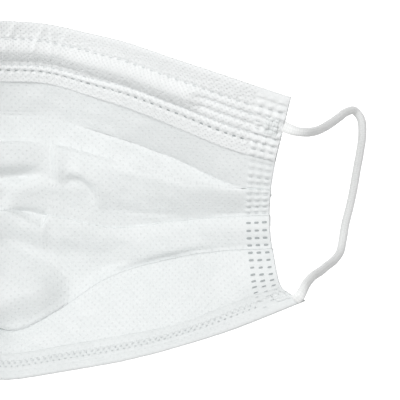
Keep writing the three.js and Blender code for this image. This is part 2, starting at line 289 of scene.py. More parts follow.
def ear_loop(name, side):
    route, length = smooth_route([(side * x, y, z) for x, y, z in CORD_ROUTE], CORD_STEP)
    tangent = np.gradient(route, axis=0)
    tangent /= np.linalg.norm(tangent, axis=1)[:, None]
    across = np.cross(np.broadcast_to([0.0, 0.0, 1.0], route.shape), tangent)
    across[np.linalg.norm(across, axis=1) < 0.05] = [0, 1, 0]
    across /= np.linalg.norm(across, axis=1)[:, None]
    up = np.cross(tangent, across)
    distance = np.arange(len(route)) * CORD_STEP
    near_end = np.minimum(distance, distance[-1] - distance)
    flat = 1 - smoothstep(near_end, 0.5, FLAT_END)
    angle = 2 * np.pi * np.arange(CORD_SIDES) / CORD_SIDES
    radius = CORD_DIAMETER / 2
    points, uv = [], []
    for i, centre in enumerate(route):
        wide, thick = radius * (SOFT + 0.2 * flat[i]), radius * (1 - 0.5 * flat[i])
        uneven = 1 + 0.02 * wobble(np.array(distance[i]), angle * 4, 2.4, 71)
        ring = np.cos(angle)[:, None] * across[i] * wide + np.sin(angle)[:, None] * up[i] * thick
        points.append(centre + ring * uneven[:, None])
        uv.append(np.stack([np.full(CORD_SIDES, distance[i]), angle / (2 * np.pi) * CORD_ROUND], axis=1) * MM)
    points, uv = np.vstack(points), np.vstack(uv)
    faces = grid_faces(len(route), CORD_SIDES, closed=True)
    if side < 0:
        faces = [face[::-1] for face in faces]
    first, last = list(range(CORD_SIDES)), list(range(len(points) - CORD_SIDES, len(points)))
    faces += [tuple(first), tuple(last[::-1])]
    piece = mesh_piece(name, points, faces, uv)
    print(name, "length", round(length, 1), "mm")
    return piece, route, length


loops = {}
for word, side in (("left", -1), ("right", 1)):
    loops[word] = ear_loop(f"ear_loop_cord_{word}", side)

# %% [markdown]
# ## The cloth's lines
# The bowl is drawn by twelve lines that run along the mask: its two edges, the cut edges of the two
# borders, the creases of the three pleats and two lines of the belly. Each has a table of places across
# the mask and heights above the table at six stations from its middle to its end. The edges and the
# cut edges are those of the CAD model, and the other eight lines differ from it. The middle pleat's
# valley lies up to 13 mm nearer the chin here, so this pleat is shut where the CAD model's is open. The
# belly's lines are up to 4 mm away, and heights differ by up to 2 mm. Drawing the creases rather than
# the faces keeps every fold crisp, however the panels between them swell.

# %% Tables of the lines
HALF_LENGTH = 78.0
LEAN, LEAN_REACH = 0.15, 0.55
LINES = {  # name: places across, heights, where it stops along the mask
    "nose_edge": ((58.7, 57.6, 52.3, 44.0, 37.2, 31.0), (18.0, 21.0, 31.0, 43.0, 50.0, 53.0), 81.3),
    "hem_cut": ((39.5, 38.5, 32.0, 23.5, 16.0, 11.5), (9.0, 11.0, 20.0, 31.0, 39.0, 43.0), 77.0),
    "upper_valley": ((29.5, 28.2, 21.8, 14.0, 5.7, 0.5), (5.0, 6.6, 13.5, 23.5, 33.0, 38.8), 75.9),
    "upper_fold": ((19.2, 18.3, 13.1, 6.5, 3.9, 3.0), (6.2, 7.7, 14.3, 24.8, 35.4, 39.9), 75.9),
    "middle_valley": ((-4.5, -6.6, -10.6, -9.6, -8.3, -9.5), (0.8, 1.0, 4.0, 13.0, 26.0, 36.2), 75.6),
    "middle_fold": ((-3.3, -5.4, -9.4, -7.1, -5.6, -4.6), (4.6, 5.2, 7.0, 15.8, 28.2, 37.6), 75.6),
    "belly_top": ((-14.5, -19.0, -17.0, -12.0, -10.0, -9.2), (-0.6, 0.8, 6.6, 16.8, 29.4, 38.6), 75.7),
    "belly_low": ((-30.0, -28.0, -22.0, -16.4, -13.6, -12.6), (-1.0, -0.6, 4.8, 15.0, 26.9, 37.7), 76.0),
    "lower_valley": ((-48.5, -42.5, -31.0, -26.0, -23.5, -23.0), (4.0, 3.6, 4.5, 11.5, 25.0, 38.5), 76.4),
    "lower_fold": ((-44.9, -38.2, -25.2, -19.0, -16.2, -14.9), (4.6, 4.2, 6.2, 14.5, 27.5, 39.0), 76.4),
    "chin_cut": ((-51.0, -49.2, -46.0, -41.3, -33.5, -27.3), (12.5, 13.5, 18.0, 27.0, 38.5, 48.5), 78.5),
    "chin_edge": ((-58.7, -56.8, -53.0, -46.6, -39.2, -30.5), (21.0, 22.0, 27.0, 37.0, 48.0, 57.0), 84.9),
}


def at_station(values, t):
    """A Catmull-Rom curve through the six stations, level at the middle of the mask."""
    place = np.minimum(np.abs(t), 1) * 5
    i = np.minimum(place.astype(int), 4)
    f = place - i
    v = np.asarray(values)
    a, b, c = v[np.abs(i - 1)], v[i], v[i + 1]
    d = np.where(i + 2 > 5, 2 * c - b, v[np.minimum(i + 2, 5)])
    return b + 0.5 * f * (c - a + f * (2 * a - 5 * b + 4 * c - d + f * (3 * (b - c) + d - a)))


def pocket(x):
    """How far the middle pleat gapes, in the little pocket left of the mask's middle."""
    return 6.1 * np.clip((x + 14.5) / 14.1, 0, 1) * (1 - smoothstep(x, -1.0, 2.4))


def line_at(name, u):
    """Points of a line, in millimetres. u runs from -1 at the left end to 1 at the right end."""
    across, heights, end = LINES[name]
    leaned = u + LEAN * np.exp(-((u / LEAN_REACH) ** 2)) * (1 - u * u) ** 2
    x = u * (HALF_LENGTH + (end - HALF_LENGTH) * np.abs(u) ** 3)
    return np.stack([x, at_station(across, leaned), at_station(heights, u)], axis=-1)


print(len(LINES), "lines, the nose edge at the middle is", line_at("nose_edge", np.zeros(1))[0].round(1))

# %% [markdown]
# ## One section of the sheet
# A pleat is a flat S: the cloth runs under the fold, turns at the hidden valley, comes back and turns
# again at the fold. Where the pleat has opened, the same three layers stand as a zigzag. Both shapes
# are worked out at every step along the mask and mixed by how far the pleat is shut.

# %% Sections
PLEATS = {
    "upper": ("hem_cut", "upper_valley", "upper_fold", "middle_valley"),
    "middle": ("upper_fold", "middle_valley", "middle_fold", "belly_top"),
    "lower": ("belly_low", "lower_valley", "lower_fold", "chin_cut"),
}
LAP = 1.25  # three layers of cloth, where a pleat is shut
FOOT = 0.5
OPEN_AT, SHUT_AT = -3.0, 1.0
SAG, SAG_SHARE = -0.36, 0.8  # how the panel under the lower pleat hangs at the ends, and where it is lowest
PATH = [  # what a section passes, and how many steps the way to the next one takes
    ("line", "nose_edge", 6), ("fill", (0.27, 0.01), 8), ("fill", (0.6, 0.015), 6),
    ("fill", (0.85, 0.005), 4), ("line", "hem_cut", 12),
    ("fill", (0.55, 0.04), 11), ("approach", "upper", 5), ("valley", "upper", 13),
    ("under", "upper", 2), ("fold", "upper", 10), ("fill", (0.35, 0.05), 16), ("approach", "middle", 5),
    ("valley", "middle", 7), ("under", "middle", 2), ("fold", "middle", 8), ("fill", (0.5, 0.12, 0.06), 12),
    ("line", "belly_top", 18), ("line", "belly_low", 20), ("approach", "lower", 5), ("valley", "lower", 7),
    ("under", "lower", 2), ("fold", "lower", 13), ("fill", (0.4, 0.09, 0.5 * SAG), 8),
    ("fill", (SAG_SHARE, 0.045, SAG), 5), ("line", "chin_cut", 5),
    ("fill", (0.5, 0.03), 5), ("line", "chin_edge", 0),
]  # fmt: skip
HOLD = {"approach": 0.35, "under": 0.5, "valley": 0.12, "fold": 0.14}  # how little a crease is rounded
LIPS = {"upper": 0.9, "middle": 1.0, "lower": 0.25}  # height of a fold's edge over the wall beside it


def at_the_ends(u):
    return smoothstep(np.abs(u), 0.72, 0.95)


def height_on(y, a, b):
    return a[:, 2] + (b[:, 2] - a[:, 2]) * (y - a[:, 1]) / (b[:, 1] - a[:, 1])


def pleat_points(name, u):
    before, valley, fold, after = (line_at(line, u) for line in PLEATS[name])
    edge = fold.copy()
    if name == "middle":
        fold = fold - pocket(fold[:, 0])[:, None] * [0, 1, 0]
        valley = valley + np.minimum(pocket(fold[:, 0]), 1.2)[:, None] * [0, 1, 0]
    shut = smoothstep(fold[:, 1] - valley[:, 1], OPEN_AT, SHUT_AT)
    approach_y = np.maximum(valley[:, 1], fold[:, 1]) + FOOT
    sag = (SAG * at_the_ends(u) if name == "lower" else 0 * u) * np.linalg.norm(after - edge, axis=1)
    share = lambda y: np.clip((y - edge[:, 1]) / (after[:, 1] - edge[:, 1]), 0, 1)
    hang = lambda y: np.minimum(share(y) / SAG_SHARE, (1 - share(y)) / (1 - SAG_SHARE))
    top = lambda y: height_on(y, edge, after) + sag * hang(y)
    mixed = lambda y, opened, closed: np.stack([fold[:, 0], y, opened + (closed - opened) * shut], axis=-1)
    under_open = np.stack([fold[:, 0], fold[:, 1] + 0.25, fold[:, 2] - LIPS[name]], axis=-1)
    under_shut = np.stack([fold[:, 0], fold[:, 1] - 0.35, top(fold[:, 1]) - 0.5 * LAP], axis=-1)
    return {
        "under": under_open + (under_shut - under_open) * shut[:, None],
        "approach": mixed(
            approach_y,
            height_on(approach_y, before, valley) if name == "upper" else top(approach_y) - LAP,
            top(approach_y) - LAP,
        ),
        "valley": mixed(valley[:, 1], valley[:, 2], top(valley[:, 1]) - 0.65 * LAP),
        "fold": mixed(fold[:, 1], fold[:, 2], fold[:, 2]),
        "shut": shut,
    }


def sheet_sections(u):
    """The sheet's wall as points[row, column], how freely each point is rounded, how hidden it is, and the
    named rows.
    """
    pleats = {name: pleat_points(name, u) for name in PLEATS}
    known = [
        line_at(what, u) if kind == "line" else None if kind == "fill" else pleats[what][kind]
        for kind, what, _ in PATH
    ]
    stops = list(known)
    for k, (kind, what, _) in enumerate(PATH):
        if kind == "fill":
            above = next(known[i] for i in range(k - 1, -1, -1) if known[i] is not None)
            below = next(known[i] for i in range(k + 1, len(PATH)) if known[i] is not None)
            share, bulge, end_bulge = what if len(what) == 3 else (*what, what[1])
            bulges = bulge + (end_bulge - bulge) * at_the_ends(u)
            stops[k] = above + (below - above) * share
            stops[k][:, 2] += bulges * np.linalg.norm(below - above, axis=1)
            if k > len(PATH) - 3:  # the loop has drawn the corner out to a tip
                stops[k][:, 0] = above[:, 0] + (below[:, 0] - above[:, 0]) * share**2.5
    rows, hold, hidden, marks = [], [], [], {}
    for k, (kind, what, steps) in enumerate(PATH):
        if kind != "fill":
            marks[what if kind == "line" else f"{what}_{kind}"] = len(rows)
        under = pleats[what]["shut"] if kind in ("approach", "valley", "under") else np.zeros(len(u))
        for step in range(max(steps, 1)):
            t = step / max(steps, 1)
            nearest = stops[min(k + 1, len(stops) - 1)]
            rows.append(stops[k] + (nearest - stops[k]) * t)
            hidden.append(under)
            grip = np.full(len(u), HOLD.get(kind, 1.0) if step == 0 else 1.0)
            if what == "upper" and kind in ("under", "fold"):  # this fold fades into a soft ridge
                ends = 1 - smoothstep(np.abs(u), 0.86, 0.9)
                grip = grip + (0.8 - grip) * smoothstep(np.abs(u), 0.5, 0.58) * ends
            if what == "lower" and kind != "fill":  # where this pleat is open it is a soft furrow
                grip = grip + (0.85 - grip) * (1 - pleats[what]["shut"])
            hold.append(grip)
    return np.array(rows), np.array(hold), np.array(hidden), marks


def relaxed(points, hold, rounds=26):
    """Rounds the sections: freely within a panel, hardly at its creases."""
    p = points.copy()
    pull = 0.5 * hold[1:-1, :, None]
    for _ in range(rounds):
        p[1:-1] += pull * ((p[:-2] + p[2:]) / 2 - p[1:-1])
    return p


def normals_of(grid):
    """Unit normals of a grid whose rows run towards -Y and columns towards +X."""
    n = np.cross(np.gradient(grid, axis=0), np.gradient(grid, axis=1))
    return n / np.maximum(np.linalg.norm(n, axis=2), 1e-9)[:, :, None]


print("a section has", sum(max(steps, 1) for _, _, steps in PATH), "rows")

# %% Columns along the mask
BAND = 8.6 / HALF_LENGTH  # the welded band at each end
fine = np.arange(0, BAND, 0.44 / HALF_LENGTH)
coarse = np.cumsum(np.where(np.abs(np.linspace(-1, 1, 141)) < 0.62, 0.8, 1.25))
coarse = (coarse - coarse[0]) / (coarse[-1] - coarse[0]) * 2 * (1 - BAND) - (1 - BAND)
body_u = np.concatenate([-1 + fine, coarse, (1 - fine)[::-1]])
middle_wall, hold, hidden, marks = sheet_sections(body_u)
middle_wall = relaxed(middle_wall, hold)
print("sheet", middle_wall.shape[:2], "rows at", marks)

# %% [markdown]
# ## The welded bands at both ends
# All layers are welded together there by three columns of short dashes, pressed in by a hot wheel.
# Between the dashes the cloth stands up in little pillows. The rows of dashes follow the cloth, so
# they are counted along the visible path of the sheet, over every fold, from the middle pleat's fold.

# %% Rows and columns of the weld
WELD_COLUMNS = (1.8, 4.55, 7.3)  # from the mask's end to the middle of a dash
WELD_PITCH = 2.37
WELD_FIRST = 2.06  # from the middle pleat's fold to the next row below it
DASH_LONG, DASH_WIDE = 1.6, 0.62
column_gap = WELD_COLUMNS[1] - WELD_COLUMNS[0]


def reach_along_columns(wall, hidden, distances):
    """How far every point lies below the middle pleat's fold, along the visible side of the cloth."""
    steps = steps_of(wall)
    level = slice(marks["middle_fold"], marks["lower_fold"])
    steps[level] = np.abs(np.diff(wall[:, :, 1], axis=0))[level]
    sloping = slice(marks["lower_fold"], None)
    steps[sloping] = 0.5 * steps[sloping] + 0.5 * np.abs(np.diff(wall[:, :, 1], axis=0))[sloping]
    steps *= 1 - np.maximum(hidden[:-1], hidden[1:])
    reach = np.vstack([np.zeros(wall.shape[1]), np.cumsum(steps, axis=0)])
    reach = reach - reach[marks["middle_fold"]] + np.arange(len(reach))[:, None] * 1e-6
    above = slice(0, marks["middle_fold"])  # up there the rows of dashes follow the folds
    reach[above] = reach[above, int(np.argmin(np.abs(distances - WELD_COLUMNS[1])))][:, None]
    return reach


edge_distance = (1 - np.abs(body_u)) * HALF_LENGTH
weld_reach = reach_along_columns(middle_wall, hidden, edge_distance)
weld_dashes = []  # place between the sheet's rows, distance from the end, side
for distance in WELD_COLUMNS:
    column = weld_reach[:, int(np.argmin(np.abs(edge_distance - distance)))]
    for reach in np.arange(-40, 40) * WELD_PITCH + WELD_FIRST:
        if column[0] + 3.0 < reach < column[-1] - 1.5:
            place = index_at(reach, column)
            weld_dashes += [(place, distance, -1), (place, distance, 1)]
print(len(weld_dashes), "dashes in the bands")


def ironed(distance, rows):
    """1 inside a welded band, for every point of a grid with so many rows."""
    inside = smoothstep(distance, 0.2, 0.9) * (1 - smoothstep(distance, 8.2, 9.4))
    return np.broadcast_to(inside, (rows, len(distance)))


def band_relief(reach, distance, shown):
    """Height of the cloth's pillows, high above the middle pleat's fold and low below it, and dents."""
    row = (reach - WELD_FIRST) / WELD_PITCH
    off_row = (row - np.round(row)) * WELD_PITCH
    column = (distance - WELD_COLUMNS[0]) / column_gap
    off_column = (column - np.clip(np.round(column), 0, 2)) * column_gap
    inside = smoothstep(distance, 0.2, 0.9) * (1 - smoothstep(distance, 8.2, 9.0))
    dent = np.exp(-((off_column / 0.95) ** 4) - (off_row / 0.5) ** 2)
    ridge = 0.5 - 0.5 * np.cos(2 * np.pi * row)
    between = 0.62 + 0.38 * np.cos(2 * np.pi * off_column / column_gap)
    puffed = 0.04 + 0.52 * (1 - smoothstep(reach, -1.6, 0.2))
    return inside * shown * (puffed * ridge * between - 0.2 * dent)


# %% [markdown]
# ## The mask's body
# The grid of the sheet's sections becomes its upper skin. It gets the relief of the welds, the soft
# creases that handling leaves and a rounded heap of cloth below the middle pleat, and a Solidify
# modifier then gives the cloth its thickness. The heap is set a little higher than in the CAD model.

# %% Body
SKIN_RISE = 0.45
LOWEST_SKIN = 0.75
PLY_WALL = 0.42
FOLD_ROWS = [marks[name] for name in ("nose_edge", "hem_cut", "upper_under", "middle_under", "lower_under")]


def laid_on_table(grid, lowest):
    """Presses what would be under the table softly flat on it."""
    z = grid[:, :, 2]
    grid[:, :, 2] = lowest + np.log1p(np.exp((z - lowest) / 0.5)) * 0.5
    return grid


def beside(line, x, y):
    """Distance from an open line in the plan, positive on its left, and the share of the way along it."""
    line = np.asarray(line, float)
    lengths = steps_of(line)
    best = np.full(x.shape, 1e9)
    signed, share = np.zeros(x.shape), np.zeros(x.shape)
    for i, (a, b) in enumerate(zip(line[:-1], line[1:])):
        d = (b - a) / lengths[i]
        t = np.clip((x - a[0]) * d[0] + (y - a[1]) * d[1], 0, lengths[i])
        away = np.hypot(x - a[0] - t * d[0], y - a[1] - t * d[1])
        side = np.sign(d[0] * (y - a[1]) - d[1] * (x - a[0]))
        near = away < best
        best = np.where(near, away, best)
        signed = np.where(near, away * np.where(side == 0, 1, side), signed)
        share = np.where(near, (lengths[:i].sum() + t) / lengths.sum(), share)
    return signed, share


def furrow(line, x, y, depth, reach):
    """A soft groove along a line, which fades in and out at its ends."""
    away, share = beside(line, x, y)
    fade = np.sin(np.pi * np.clip(share, 0.02, 0.98)) ** 0.5
    return -depth * fade * np.exp(-((away / reach) ** 2))


SHOULDER = (
    (3.4, 19.5), (3.7, 13.7), (4.1, 9.6), (4.8, 6.9), (6.6, 6.3), (8.4, 7.4), (10.1, 8.3),
    (12.4, 8.0), (14.8, 6.8), (17.1, 4.6), (18.2, 2.4), (18.8, -0.3), (19.0, -3.0),
)  # fmt: skip
# shares of the line, and the heights there
SHOULDER_HEIGHTS = ((0, 0.28, 0.36, 0.45, 0.6, 0.85, 1), (2.0, 2.5, 1.9, 1.4, 3.3, 2.3, 0))
HEAP = (
    (-24, -51.5), (-15, -50), (-5.5, -46.8), (3.2, -42.6), (8.2, -38.2),
    (10.6, -32), (10, -25.5), (6, -20.5), (-2, -16), (-14, -11.5),
)  # fmt: skip
HEAP_SLOPES = ((0, 0.5, 0.75, 1), (16.0, 14.0, 15.0, 16.0))  # shares of the line, how far in the slope goes
HEAP_HEIGHT = 9.4
HEAP_FADES = (-46, -20)  # between these places along the mask it fades in from the left
PANEL_CREASES = (  # a line in the plan, its depth and its reach
    (((9, 16.4), (17, 14.4), (23, 12.8), (34, 9.8), (44, 7.6), (52, 5.2)), 0.75, 0.9),
    (((24, -3.2), (32, -4.0), (40, -4.4), (47, -4.3)), 0.55, 0.8),
    (((57, -4.0), (63, -4.3), (69, -4.0)), 0.3, 0.7),
)
BELLY_CREASES = (  # a depth below zero is a ridge
    (((36, -18.5), (48, -15.8), (60, -14.0), (71, -13.5)), -1.1, 2.8),
    (((17, -26.4), (24, -25.4), (32, -23.0), (40, -20.7), (49, -18.6)), 1.1, 1.5),
    (((-12, -14.5), (0, -20), (10, -23.5), (22, -22.5)), 0.5, 2.0),
)


def handled(grid, rows):
    """Heights that handling has left between the upper fold and the chin, by place in the plan."""
    x, y = grid[:, :, 0], grid[:, :, 1]
    index = np.arange(grid.shape[0])[:, None]
    panel = (index >= rows["upper_fold"]) & (index < rows["middle_valley"])
    belly = (index >= rows["middle_fold"]) & (index < rows["lower_valley"])
    away, share = beside(SHOULDER, x, y)
    tall = np.interp(share, *SHOULDER_HEIGHTS)
    shoulder = tall * smoothstep(away, -1.3, 1.1) * np.exp(-np.maximum(away - 1, 0) / 11)
    slump = 1.7 * smoothstep(y, 8.2, 12.4) * (1 - smoothstep(x, -9.0, 3.4))
    slump = slump - 2.9 * np.exp(-(((y - 9.2 - 0.08 * x) / 2.5) ** 2)) * (1 - smoothstep(x, -9, 3.0))
    ridge = 0.7 * np.exp(-(((y - 4.0) / 2.2) ** 2)) * smoothstep(x, -13, -6) * (1 - smoothstep(x, 12, 18))
    left_fall = -1.0 * (1 - smoothstep(x, -15, -9)) * np.exp(-(((y - 0.5) / 5) ** 2))
    lift = panel * (shoulder + slump + ridge + left_fall)
    for line, depth, reach in PANEL_CREASES:
        lift = lift + panel * furrow(line, x, y, depth, reach)
    near_valley = (index > rows["hem_cut"]) & (index < rows["middle_approach"])
    valley_away = y - y[rows["upper_valley"]]
    valley_line = smoothstep(x, 8, 26) * (1 - smoothstep(x, 62, 70))
    lift = lift - near_valley * 0.6 * np.exp(-((valley_away / 0.8) ** 2)) * valley_line
    away, share = beside(HEAP, x, y)
    swell = smoothstep(away, -0.6, np.interp(share, *HEAP_SLOPES))
    lift = lift + belly * HEAP_HEIGHT * swell * smoothstep(x, *HEAP_FADES)
    for line, depth, reach in BELLY_CREASES:
        lift = lift + belly * furrow(line, x, y, depth, reach)
    under_a_fold = (index >= rows["middle_approach"]) & (index < rows["middle_fold"])
    under_a_fold = under_a_fold | (index >= rows["lower_approach"])
    return np.where(under_a_fold, np.minimum(lift, 0), lift)


body = middle_wall.copy()
body[:, :, 2] += handled(body, marks)
body = body + normals_of(body) * SKIN_RISE
body = laid_on_table(body, LOWEST_SKIN)
normals = normals_of(body)
relief = band_relief(weld_reach, edge_distance[None, :], 1 - hidden)
loose = smoothstep(edge_distance, 6, 26)[None, :] * (0.3 + 0.7 * hold)
relief = relief + 0.16 * loose * wobble(body[:, :, 0], body[:, :, 1] * 1.3, 7.0, 11)
relief = relief + 0.10 * loose * wobble(body[:, :, 0] * 0.6 + body[:, :, 1], body[:, :, 1], 3.4, 12)
body = body + normals * relief[:, :, None]
mask_cloth = cloth_piece("mask_cloth", body, PLY_WALL, FOLD_ROWS, ironed(edge_distance, len(body)))
print("mask_cloth", body.shape[0] * body.shape[1], "points, lowest", round(body[:, :, 2].min(), 2), "mm")

# %% [markdown]
# ## Folded borders
# The outer ply is wider than the rest. It is turned over each long edge and welded down in rows of
# short dashes. Between two rows it puffs up, and the row itself is scalloped, because the cloth is only
# held at the dashes. Over the nose wire the first three gaps are one high channel. The lower border is
# narrow. A raised band with a scalloped inner edge runs along it, and two rows of dots are pressed into
# the band.

# %% The upper border
HEM_STEP = 0.42
hem_u = np.linspace(-1, 1, int(2 * HALF_LENGTH / HEM_STEP) + 1)
hem_wall_rows, hem_hold, hem_hidden, hem_marks = sheet_sections(hem_u)
hem_wall_rows = relaxed(hem_wall_rows, hem_hold)
hem_edge = (1 - np.abs(hem_u)) * HALF_LENGTH
hem_reach = reach_along_columns(hem_wall_rows, hem_hidden, hem_edge)
DASH_PITCH = 2.75
TOP_WELDS = (0.26, 0.385, 0.515, 0.65, 0.768)  # across the border, as a share of its width
WIRE_REACH = 0.66
WELD_DRIFT = (0, 0, 0, 0.05, 0.022)  # how much lower a row lies in the middle of the mask
PUFF = (0.44, 0.54, 0.54, 0.46)
CRINKLES = (  # place, lean, height
    (-8.0, 0.5, 0.3), (1.6, 0.45, 0.5), (3.9, -0.1, 0.45),
    (9.9, 0.4, 0.45), (-21.0, 0.3, 0.3), (30.0, -0.3, 0.2),
)  # fmt: skip
CHANNEL, WIRE_ENDS = 2.9, 0.635  # its height, and where the bulge ends across the border
HEM_RISE = 0.75


def rows_at(first, last, shares):
    """Where shares of a border's width lie between the sheet's rows, in the middle of the mask."""
    section = hem_wall_rows[first : last + 1, hem_wall_rows.shape[1] // 2]
    reach = np.concatenate([[0], np.cumsum(steps_of(section))])
    return np.interp(shares, reach / reach[-1], np.arange(first, last + 1))


def between_rows(values, place, last):
    """What a grid holds at places between its rows."""
    low = np.minimum(place.astype(int), last - 1)
    f = (place - low).reshape(-1, *[1] * (values.ndim - 1))
    return values[low] * (1 - f) + values[low + 1] * f


def border_grid(first, last, shares, rise):
    """Points at the given shares between two rows of the sheet, raised along the normal."""
    place = rows_at(first, last, shares)
    up = between_rows(normals_of(hem_wall_rows), place, last)
    return between_rows(hem_wall_rows, place, last) + up * rise[:, :, None], up


def rolled_over(grid, up, edge, inner, turns):
    """Rolls the rows next to an edge round it. turns holds row, way out and way down."""
    outward = grid[edge] - grid[inner]
    outward /= np.linalg.norm(outward, axis=1)[:, None]
    for row, out, down in turns:
        grid[row] += outward * out - up[row] * down


def with_band(grid, up, first, last, shares, shown):
    """Carries the relief of the welded bands over a border."""
    reach = between_rows(hem_reach, rows_at(first, last, shares), last)
    relief = band_relief(reach, hem_edge[None, :], 1.0)
    return grid + up * (relief * shown)[:, :, None]


def weld_share(k, u):
    return TOP_WELDS[k] + WELD_DRIFT[k] * (1 - smoothstep(np.abs(u), 0.1, 0.5))


def dash_phase(distance_along, offset=0.0):
    """1 at a dash and 0 midway between two."""
    return 0.5 + 0.5 * np.cos(2 * np.pi * (distance_along / DASH_PITCH + offset))


first, last = hem_marks["nose_edge"], hem_marks["hem_cut"]
top_shares = np.concatenate([[0, 0.004, 0.012, 0.03], np.linspace(0.05, 0.975, 57), [0.99, 0.997, 1.0]])
S, U = top_shares[:, None], hem_u[None, :]
hem_x = line_at("nose_edge", hem_u)[:, 0][None, :]
over_wire = 1 - smoothstep(np.abs(U), WIRE_REACH - 0.02, WIRE_REACH + 0.05)
width = np.linalg.norm(line_at("nose_edge", hem_u) - line_at("hem_cut", hem_u), axis=1)[None, :]
rise = np.full((len(top_shares), len(hem_u)), HEM_RISE)
for k, puff in enumerate(PUFF):
    a, b = weld_share(k, U), weld_share(k + 1, U)
    lobe = np.sin(np.pi * np.clip((S - a) / (b - a), 0, 1) ** 0.85) ** 0.8
    rise = rise + puff * lobe * (1 - over_wire if k < 3 else 1)
t = np.clip((S - TOP_WELDS[0]) / (WIRE_ENDS - TOP_WELDS[0]), 0, 1)
rise = rise + over_wire * CHANNEL * np.sin(np.pi * t**0.72) ** 0.8  # it climbs quickly and falls slowly
dimples = np.clip(np.cos(2 * np.pi * hem_x / 2.0) * np.cos(2 * np.pi * S * width / 2.2), 0.15, 1)
rise = rise - 0.6 * over_wire * dimples * smoothstep(t, 0.4, 0.62) * (1 - smoothstep(t, 0.97, 1.0))
last_row = weld_share(4, U)
t = np.clip((S - last_row) / (1 - last_row), 0, 1)
rise = rise + 0.3 * np.sin(np.pi * np.minimum(t * 2.6, 1) * 0.5) + 0.3 * t - 0.8 * smoothstep(S, 0.98, 1.0)
for k in range(len(TOP_WELDS)):
    away = (S - weld_share(k, U)) * width
    held = dash_phase(hem_x, 0.5 * (k % 2))
    there = 1 - over_wire if k in (1, 2) else np.ones_like(over_wire)
    trench = 0.12 if k < 4 else -0.3  # the last row is held at its dashes only
    rise = rise - there * (trench + (0.34 - trench) * held) * np.exp(-((away / (0.45 + 0.25 * held)) ** 2))
    rise = rise + there * 0.22 * (1 - held) * np.exp(-(((np.abs(away) - 1.0) / 0.6) ** 2))
flange = (1 - smoothstep(S, 0.2, 0.27)) * smoothstep(S, 0.0, 0.05)
rise = rise + 0.10 * flange * wobble(hem_x + 3 * S * width, S * width * 0.5, 1.9, 31)
for place, lean, height in CRINKLES:
    away = hem_x - place + lean * S * width
    pinch = height * np.exp(-np.where(away > 0, away / 1.5, away / 0.5) ** 2)
    rise = rise + pinch * smoothstep(S, 0.0, 0.04) * (1 - smoothstep(S, 0.36, 0.46))
rise = rise + 0.05 * wobble(hem_x, S * width, 1.6, 32)
top_hem_grid, hem_up = border_grid(first, last, top_shares, rise)
rolled_over(top_hem_grid, hem_up, 0, 6, ((0, 0.25, 1.25), (1, 0.7, 0.85), (2, 0.75, 0.35), (3, 0.35, 0.0)))
top_hem_grid = with_band(top_hem_grid, hem_up, first, last, top_shares, smoothstep(S, 0.02, 0.08))
HEM_PLY = 0.3
top_border = cloth_piece("top_border", top_hem_grid, HEM_PLY, (), 0.6 * ironed(hem_edge, len(top_hem_grid)))
print("top_border", top_hem_grid.shape[:2])

# %% The lower border
first_low, last_low = hem_marks["chin_cut"], hem_marks["chin_edge"]
LOW_RISE = 0.62
LOW_DOTS = (0.5, 0.64)  # rows of dots, as shares of its width
DOT_PITCH = 2.0
low_shares = np.concatenate([[0, 0.012, 0.03], np.linspace(0.06, 0.97, 25), [0.985, 0.994, 0.998, 1.0]])
S = low_shares[:, None]
low_x = line_at("chin_edge", hem_u)[:, 0][None, :]
low_width = np.linalg.norm(line_at("chin_cut", hem_u) - line_at("chin_edge", hem_u), axis=1)[None, :]
rise = LOW_RISE + 0.25 * np.sin(np.pi * np.clip(S / LOW_DOTS[0], 0, 1) ** 0.7)
rise = rise + 0.42 * np.sin(np.pi * np.clip((S - LOW_DOTS[1]) / (1.02 - LOW_DOTS[1]), 0, 1)) ** 0.8
rise = (rise - 0.2 * (1 - smoothstep(S, 0.0, 0.06))) * np.ones_like(low_x)
scallop = 0.045 * np.cos(2 * np.pi * low_x / DOT_PITCH)  # waves in the raised band's inner edge
rise = rise + 0.8 * smoothstep(S - scallop, 0.36, 0.44) * (1 - smoothstep(S, 0.64, 0.8))
for k, dots in enumerate(LOW_DOTS):
    away = (S - dots) * low_width
    held = 0.5 + 0.5 * np.cos(2 * np.pi * (low_x / DOT_PITCH + 0.5 * k))
    rise = rise - (0.04 + 0.16 * held) * np.exp(-((away / 0.5) ** 2))
rise = rise + 0.05 * wobble(low_x, S * low_width, 2.2, 41)
low_hem_grid, low_up = border_grid(first_low, last_low, low_shares, rise)
rolled_over(low_hem_grid, low_up, -1, -7, ((-4, 0.3, 0.0), (-3, 0.7, 0.3), (-2, 0.65, 0.8), (-1, 0.2, 1.15)))
low_hem_grid = with_band(low_hem_grid, low_up, first_low, last_low, low_shares, 1 - smoothstep(S, 0.8, 0.95))
bottom_border = cloth_piece("bottom_border", low_hem_grid, HEM_PLY, (), ironed(hem_edge, len(low_hem_grid)))
print("bottom_border", low_hem_grid.shape[:2])

# %% [markdown]
# ## Weld marks
# Where a weld wheel has pressed, the fibres have melted into a small clear film. The marks repeat
# hundreds of times along a path, which is what Geometry Nodes are for: one tree puts one small plate
# on each point, turned by the point's own directions. Its sizes are inputs, so the same tree makes the
# dashes of the bands and borders and the round dots of the lower border.


# %% The tree for weld marks
FILM = 0.1 * MM  # how thick a mark is
MARK_SIZES = (  # inputs of the tree and what they are unless told otherwise, in metres
    ("Length", "Float", 0.0015), ("Width", "Float", 0.0006),
    ("Unevenness", "Float", 0.12), ("Seed", "Int", 5),
)  # fmt: skip


